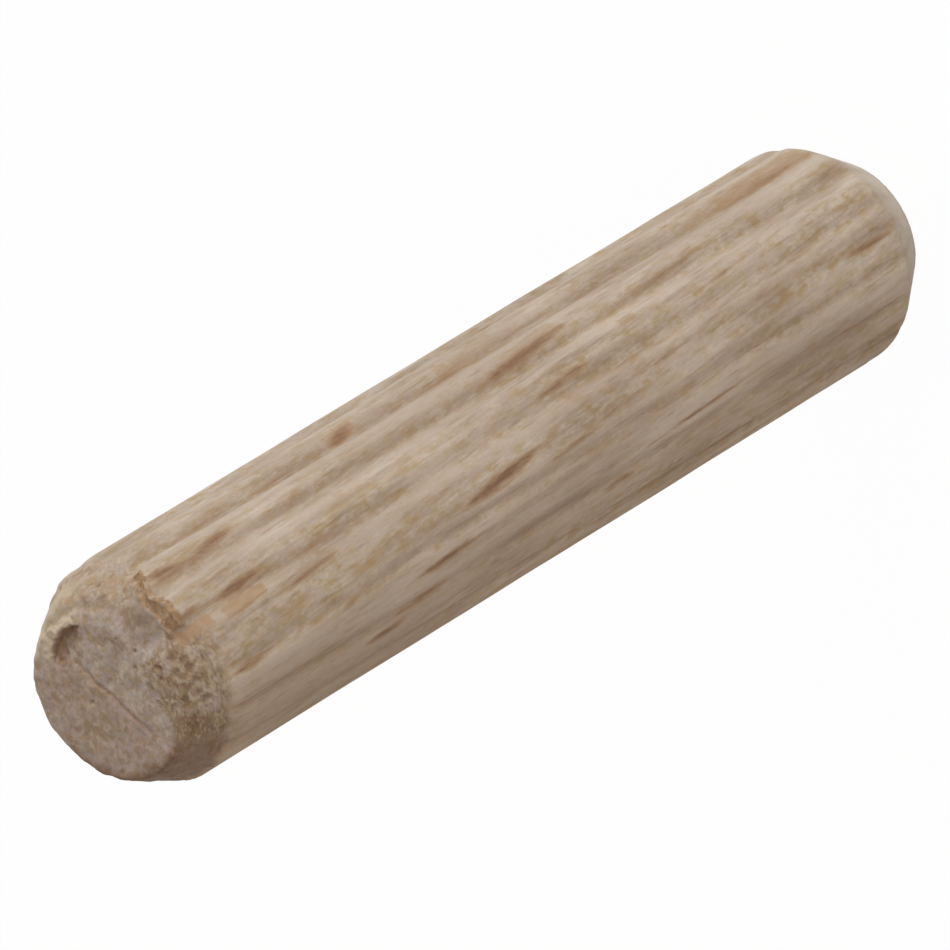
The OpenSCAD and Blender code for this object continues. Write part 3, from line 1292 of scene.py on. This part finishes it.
def torn_wood(shader, finish, grain, wood):
    """Draws crumbs and pale flakes, with painted shade in their gaps and over the torn wood."""
    torn = shader.attribute("torn").ramp(0.05, 0.8)
    flake = shader.attribute("flake")
    shred = shader.attribute("shred")
    wood = shader.mix(torn * grain.olives.ramp(0.40, 0.58) * 0.8, wood, finish.crumb)
    # painted shade in the gaps between the flakes
    wood = shader.mix(torn * flake.ramp(0.44, 0.14) * 0.35, wood, finish.stain_and_shade)
    wood = shader.mix(torn * flake.ramp(0.54, 0.92) * 0.35, wood, finish.flake)
    wood = shader.mix(torn * shred.ramp(0.55, 0.85) * 0.45, wood, finish.flake)
    # painted shade in the sunken shreds
    wood = shader.mix(torn * shred.ramp(0.42, 0.15) * 0.35, wood, finish.stain_and_shade)
    # darker torn wood, partly its own colour and partly painted shade of its crumbs
    return shader.tint(torn * (0.4 + 0.6 * grain.blots.ramp(0.50, 0.36)), wood, finish.shade)


def step_wood(shader, finish, grain, wood):
    """Draws the brown broken wall of the torn step."""
    wall = shader.mix(grain.crumbs.ramp(0.38, 0.60) * 0.85, finish.patch, finish.stain_and_shade)
    wall = shader.mix(grain.olives.ramp(0.48, 0.36) * 0.6, wall, finish.body)
    broken = shader.attribute("step_wall") + 0.9 * (grain.crumbs - 0.5)
    broken = broken + 0.9 * (grain.olives - 0.5)
    return shader.mix(broken.ramp(0.15, 0.95) * 0.95, wood, wall)


def beech(finish):
    """Bare beech: pale fibres, tan mottles, ray flecks, orange patches and torn end grain."""
    material, shader = new_material("beech")
    grain = Grain(shader, finish)
    orange = patch_share(shader, grain)
    side = shader.mix(orange, side_wood(shader, finish, grain), finish.patch)
    side = flecked_wood(shader, finish, grain, side)
    side = shader.mix(shader.attribute("plain_bevel") * 0.75, side, finish.sanded)
    bevel = shader.attribute("bevel")
    on_end = bevel.math("MAXIMUM", shader.attribute("end_grain"), bevel)
    wood = shader.mix(on_end, side, end_wood(shader, finish, grain))
    wood = torn_wood(shader, finish, grain, wood)
    wood = step_wood(shader, finish, grain, wood)
    wood = shader.mix(orange * bevel, wood, finish.patch)
    # painted shade in the pits
    wood = shader.mix(shader.attribute("pit") * 0.4, wood, finish.pit)
    relief = grain.fibres * 0.25 + grain.dashes * 0.15
    relief = relief + grain.crumbs * (0.25 + 0.6 * shader.attribute("torn"))
    bare_wood(shader, finish, wood, relief)
    return material


# Stage


def seen_directly(shader):
    """1 for rays that show the white background: from the camera, a reflection or glass."""
    path = shader.node("ShaderNodeLightPath")
    camera = shader.wire(path, "Is Camera Ray")
    glossy = shader.wire(path, "Is Glossy Ray")
    through = shader.wire(path, "Is Transmission Ray")
    return camera.math("MAXIMUM", camera.math("MAXIMUM", camera, glossy), through)


def floor_material():
    """White to the camera, with a little plain white to catch the shadow."""
    material, shader = new_material("floor")
    glow = shader.node("ShaderNodeEmission", {}, {"Color": (1, 1, 1), "Strength": 1.02})
    plain = shader.node("ShaderNodeBsdfDiffuse", {}, {"Color": (0.7, 0.7, 0.7)})
    values = (seen_directly(shader) * 0.95, shader.wire(plain), shader.wire(glow))
    both = shader.node("ShaderNodeMixShader", {}, values)
    shader.node("ShaderNodeOutputMaterial", {}, {"Surface": shader.wire(both)})
    return material


def build_floor(stage):
    """A round floor just below the pin."""
    bm = bmesh.new()
    bmesh.ops.create_circle(bm, cap_ends=True, segments=96, radius=stage.floor_radius)
    bmesh.ops.translate(bm, verts=bm.verts, vec=(0, 0, PIN_LOW.z - FLOOR_GAP))
    floor = add_mesh("floor", bm, floor_material())


def build_world(stage):
    """White behind everything, and an even pale light on the object."""
    world = bpy.data.worlds.new("studio")
    bpy.context.scene.world = world
    world.use_nodes = True
    shader = Shader(world.node_tree)
    seen = seen_directly(shader)
    strength = seen + (1 - seen) * stage.ambient
    tint = shader.mix(seen, (1.0, 0.95, 0.88), (1, 1, 1))
    values = {"Color": tint, "Strength": strength}
    light = shader.node("ShaderNodeBackground", {}, values)
    shader.node("ShaderNodeOutputWorld", {}, {"Surface": shader.wire(light)})


def add_lamp(name, towards, power, tint):
    """A square lamp that faces the middle of the pin from that direction."""
    middle = (PIN_LOW + PIN_HIGH) / 2
    data = bpy.data.lights.new(name, "AREA")
    data.size = LAMP_SIZE
    data.energy = power
    data.color = tint
    lamp = add_object(name, data)
    direction = Vector(towards).normalized()
    lamp.location = middle + direction * LAMP_DISTANCE
    lamp.rotation_euler = direction.to_track_quat("Z", "Y").to_euler()
    lamp.visible_camera = False


def build_camera(stage):
    """The camera, turned and set a little aside so that the whole pin is framed."""
    middle = (PIN_LOW + PIN_HIGH) / 2
    data = bpy.data.cameras.new("camera")
    data.lens = stage.lens
    data.sensor_width = SENSOR_WIDTH
    data.clip_start = CLIP_START
    data.clip_end = CLIP_END
    camera = add_object("camera", data)
    tip = Matrix.Rotation(math.pi / 2 - stage.camera_rise, 4, "X")
    turn = tip @ Matrix.Rotation(stage.camera_roll, 4, "Z")
    aside = Vector((*CAMERA_ASIDE, stage.camera_distance))
    camera.matrix_world = Matrix.Translation(middle + turn.to_3x3() @ aside) @ turn
    bpy.context.scene.camera = camera


def build_stage(stage):
    """The floor, the world, three lamps and the camera."""
    build_floor(stage)
    build_world(stage)
    add_lamp("key", (0.79, -0.61, 0.1), stage.key_power, (1.0, 1.0, 1.0))
    add_lamp("fill", (-0.22, -0.77, 0.6), stage.fill_power, (1.0, 0.97, 0.93))
    add_lamp("back", (0.62, 0.74, 0.33), stage.back_power, (1.0, 1.0, 1.0))
    build_camera(stage)
    bpy.context.scene.view_settings.view_transform = "Standard"


# Operators, panel and registration


class DOWEL_OT_pin(bpy.types.Operator):
    """Build the fluted beech pin with its torn end"""

    bl_idname = "dowel.pin"
    bl_label = "Beech pin"

    def execute(self, context):
        build_pin(context.scene.dowel_sizes, context.scene.dowel_finish)
        return {"FINISHED"}


class DOWEL_OT_stage(bpy.types.Operator):
    """Build the floor, the light and the camera"""

    bl_idname = "dowel.stage"
    bl_label = "Stage"

    def execute(self, context):
        build_stage(context.scene.dowel_stage)
        return {"FINISHED"}


class DOWEL_PT_parts(bpy.types.Panel):
    """Lists what the add-on builds"""

    bl_label = "Fluted dowel pin"
    bl_idname = "DOWEL_PT_parts"
    bl_space_type = "VIEW_3D"
    bl_region_type = "UI"
    bl_category = "Dowel"

    def draw(self, context):
        layout = self.layout
        for group in ("dowel_sizes", "dowel_finish", "dowel_stage"):
            box = layout.box()
            settings = getattr(context.scene, group)
            for name in settings.__annotations__:
                box.prop(settings, name)
        for operator in (DOWEL_OT_pin, DOWEL_OT_stage):
            layout.operator(operator.bl_idname)


CLASSES = (
    DowelSizes,
    DowelFinish,
    DowelStage,
    DOWEL_OT_pin,
    DOWEL_OT_stage,
    DOWEL_PT_parts,
)


def register():
    for cls in CLASSES:
        bpy.utils.register_class(cls)
    bpy.types.Scene.dowel_sizes = PointerProperty(type=DowelSizes)
    bpy.types.Scene.dowel_finish = PointerProperty(type=DowelFinish)
    bpy.types.Scene.dowel_stage = PointerProperty(type=DowelStage)


def unregister():
    del bpy.types.Scene.dowel_stage
    del bpy.types.Scene.dowel_finish
    del bpy.types.Scene.dowel_sizes
    for cls in reversed(CLASSES):
        bpy.utils.unregister_class(cls)


def main():
    """Builds everything."""
    register()
    bpy.ops.dowel.pin()
    bpy.ops.dowel.stage()


if __name__ == "__main__":
    main()
